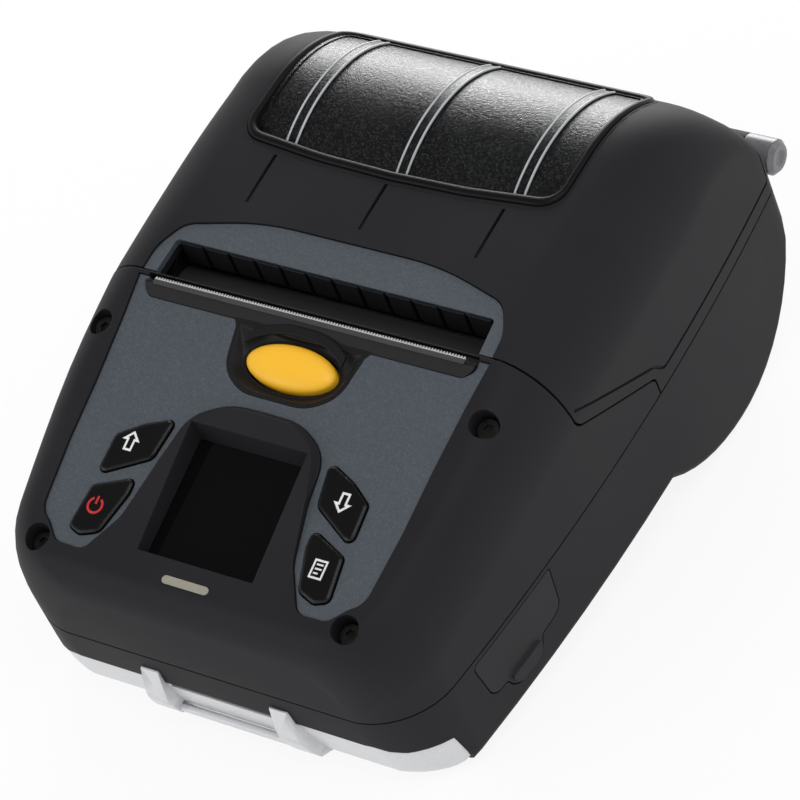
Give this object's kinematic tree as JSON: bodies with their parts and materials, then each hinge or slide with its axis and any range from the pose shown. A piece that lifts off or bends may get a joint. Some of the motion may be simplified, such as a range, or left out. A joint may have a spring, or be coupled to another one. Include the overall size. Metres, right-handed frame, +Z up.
{
  "type": "portable label printer",
  "caption": "Belt-worn thermal label printer: clamshell case with sloping key panel, windowed roll lid that carries the platen, latch button, media guides and battery.",
  "frame": {"origin": "on the ground under the middle of the printer's outline", "axes": "+X right across the printer, +Y from the nose to the hinge, +Z up; the base leans 6.2 degrees, as the printer stands"},
  "size_m": [0.116, 0.1625, 0.078],
  "materials": {
    "case_black": "satin",
    "panel_grey": "satin",
    "bezel_glass": "polished",
    "clear_lens": "polished",
    "light_bar": "satin",
    "key_black": "satin",
    "silicone": "matte",
    "rubber_black": "matte",
    "yellow": "satin",
    "bumper_grey": "satin",
    "steel": "brushed",
    "spring_steel": "polished",
    "heat_sink": "satin",
    "board": "satin",
    "white_gear": "satin",
    "brass": "satin",
    "dark_plastic": "satin",
    "pack_grey": "satin"
  },
  "bodies": {
    "case": {"bottom_case": "case_black", "front_cover": "case_black", "control_panel": "panel_grey", "display_window": "bezel_glass", "display_module": "steel", "status_light": "light_bar", "key_mat": "silicone", "key_board": "board", "button_frame": "dark_plastic", "button_spring": "spring_steel", "tear_bar": "steel", "idler_axle": "steel", "drive_motor": "steel", "print_chassis": "steel", "head_pin": "steel", "head_springs": "spring_steel", "latch_spring": "spring_steel", "hinge_pin": "steel", "hinge_barrels": "bumper_grey", "lid_spring": "spring_steel", "guide_rail": "dark_plastic", "feed_deck": "dark_plastic", "label_sensor": "rubber_black", "main_board": "board", "port_board": "board", "port_sockets": "steel", "battery_contacts": "brass", "front_bumper": "bumper_grey", "strap_bar": "steel", "cover_screws": "steel", "chassis_screws": "steel", "board_screws": "steel"},
    "lid": {"lid": "case_black", "lid_trim": "panel_grey", "lid_window": "clear_lens", "window_gasket": "rubber_black", "paper_guide": "dark_plastic", "platen_bearings": "brass"},
    "platen": {"platen_roller": "rubber_black", "platen_shaft": "steel", "platen_gear": "white_gear"},
    "release_button": {"release_button": "yellow"},
    "latch": {"latch_shaft": "steel"},
    "head": {"print_head": "heat_sink"},
    "up_key": {"key_up": "key_black"},
    "down_key": {"key_down": "key_black"},
    "power_key": {"key_power": "key_black"},
    "menu_key": {"key_menu": "key_black"},
    "idler": {"idler_gear": "white_gear"},
    "pinion": {"motor_pinion": "brass"},
    "guide_left": {"media_guide_left": "dark_plastic"},
    "guide_right": {"media_guide_right": "dark_plastic"},
    "centring_pinion": {"guide_pinion": "white_gear"},
    "port_flap": {"port_cover": "rubber_black"},
    "battery": {"battery_pack": "pack_grey"},
    "battery_catch": {"battery_latch": "bumper_grey"}
  },
  "joints": [
    {"name": "lid_hinge", "type": "hinge", "parent": "case", "child": "lid", "pos_m": [0, 0.07682, 0.04145], "axis": [-1, 0, 0], "range_deg": [0, 95]},
    {"name": "button_press", "type": "slide", "parent": "case", "child": "release_button", "axis": [0, 0.3371, -0.9415], "range_m": [0, 0.002], "stiffness_N_per_m": 900, "deforming": ["button_spring"]},
    {"name": "latch_turn", "type": "hinge", "parent": "case", "child": "latch", "pos_m": [0, -0.01466, 0.0456], "axis": [1, 0, 0], "range_deg": [0, 17]},
    {"name": "key_up_press", "type": "slide", "parent": "case", "child": "up_key", "axis": [0, 0.3371, -0.9415], "range_m": [0, 0.0005], "stiffness_N_per_m": 1200},
    {"name": "key_down_press", "type": "slide", "parent": "case", "child": "down_key", "axis": [0, 0.3371, -0.9415], "range_m": [0, 0.0005], "stiffness_N_per_m": 1200},
    {"name": "key_power_press", "type": "slide", "parent": "case", "child": "power_key", "axis": [0, 0.3371, -0.9415], "range_m": [0, 0.0005], "stiffness_N_per_m": 1200},
    {"name": "key_menu_press", "type": "slide", "parent": "case", "child": "menu_key", "axis": [0, 0.3371, -0.9415], "range_m": [0, 0.0005], "stiffness_N_per_m": 1200},
    {"name": "platen_spin", "type": "hinge", "parent": "lid", "child": "platen", "pos_m": [0, -0.01011, 0.05464], "axis": [1, 0, 0], "continuous": true},
    {"name": "idler_spin", "type": "hinge", "parent": "case", "child": "idler", "pos_m": [-0.049, -0.01937, 0.03984], "axis": [1, 0, 0], "continuous": true},
    {"name": "pinion_spin", "type": "hinge", "parent": "case", "child": "pinion", "pos_m": [-0.049, -0.03407, 0.03444], "axis": [1, 0, 0], "continuous": true},
    {"name": "head_pivot", "type": "hinge", "parent": "case", "child": "head", "pos_m": [0, -0.01864, 0.03591], "axis": [1, 0, 0], "range_deg": [0, 1.5], "stiffness_Nm_per_rad": 2},
    {"name": "guide_left_slide", "type": "slide", "parent": "case", "child": "guide_left", "axis": [1, 0, 0], "range_m": [0, 0.026]},
    {"name": "guide_right_slide", "type": "slide", "parent": "case", "child": "guide_right", "axis": [-1, 0, 0], "range_m": [0, 0.026]},
    {"name": "centring_spin", "type": "hinge", "parent": "case", "child": "centring_pinion", "pos_m": [0, 0.0414, 0.00642], "axis": [0, 0.108, -0.9942], "range_deg": [0, 315]},
    {"name": "port_flap_hinge", "type": "hinge", "parent": "case", "child": "port_flap", "pos_m": [0.05407, -0.04723, 0.02516], "axis": [-0.1131, -0.9878, -0.1073], "range_deg": [0, 95]},
    {"name": "battery_slide", "type": "slide", "parent": "case", "child": "battery", "axis": [0, 0.108, -0.9942], "range_m": [0, 0.022]},
    {"name": "battery_catch_slide", "type": "slide", "parent": "case", "child": "battery_catch", "axis": [0, -0.9942, -0.108], "range_m": [0, 0.0025], "stiffness_N_per_m": 300}
  ],
  "couplings": [
    {"joint": "latch_turn", "follows": "button_press", "rad_per_m": 145},
    {"joint": "idler_spin", "follows": "platen_spin", "ratio": -0.45},
    {"joint": "pinion_spin", "follows": "platen_spin", "ratio": 1.5},
    {"joint": "guide_right_slide", "follows": "guide_left_slide", "ratio": 1},
    {"joint": "centring_spin", "follows": "guide_left_slide", "rad_per_m": 208.33}
  ]
}
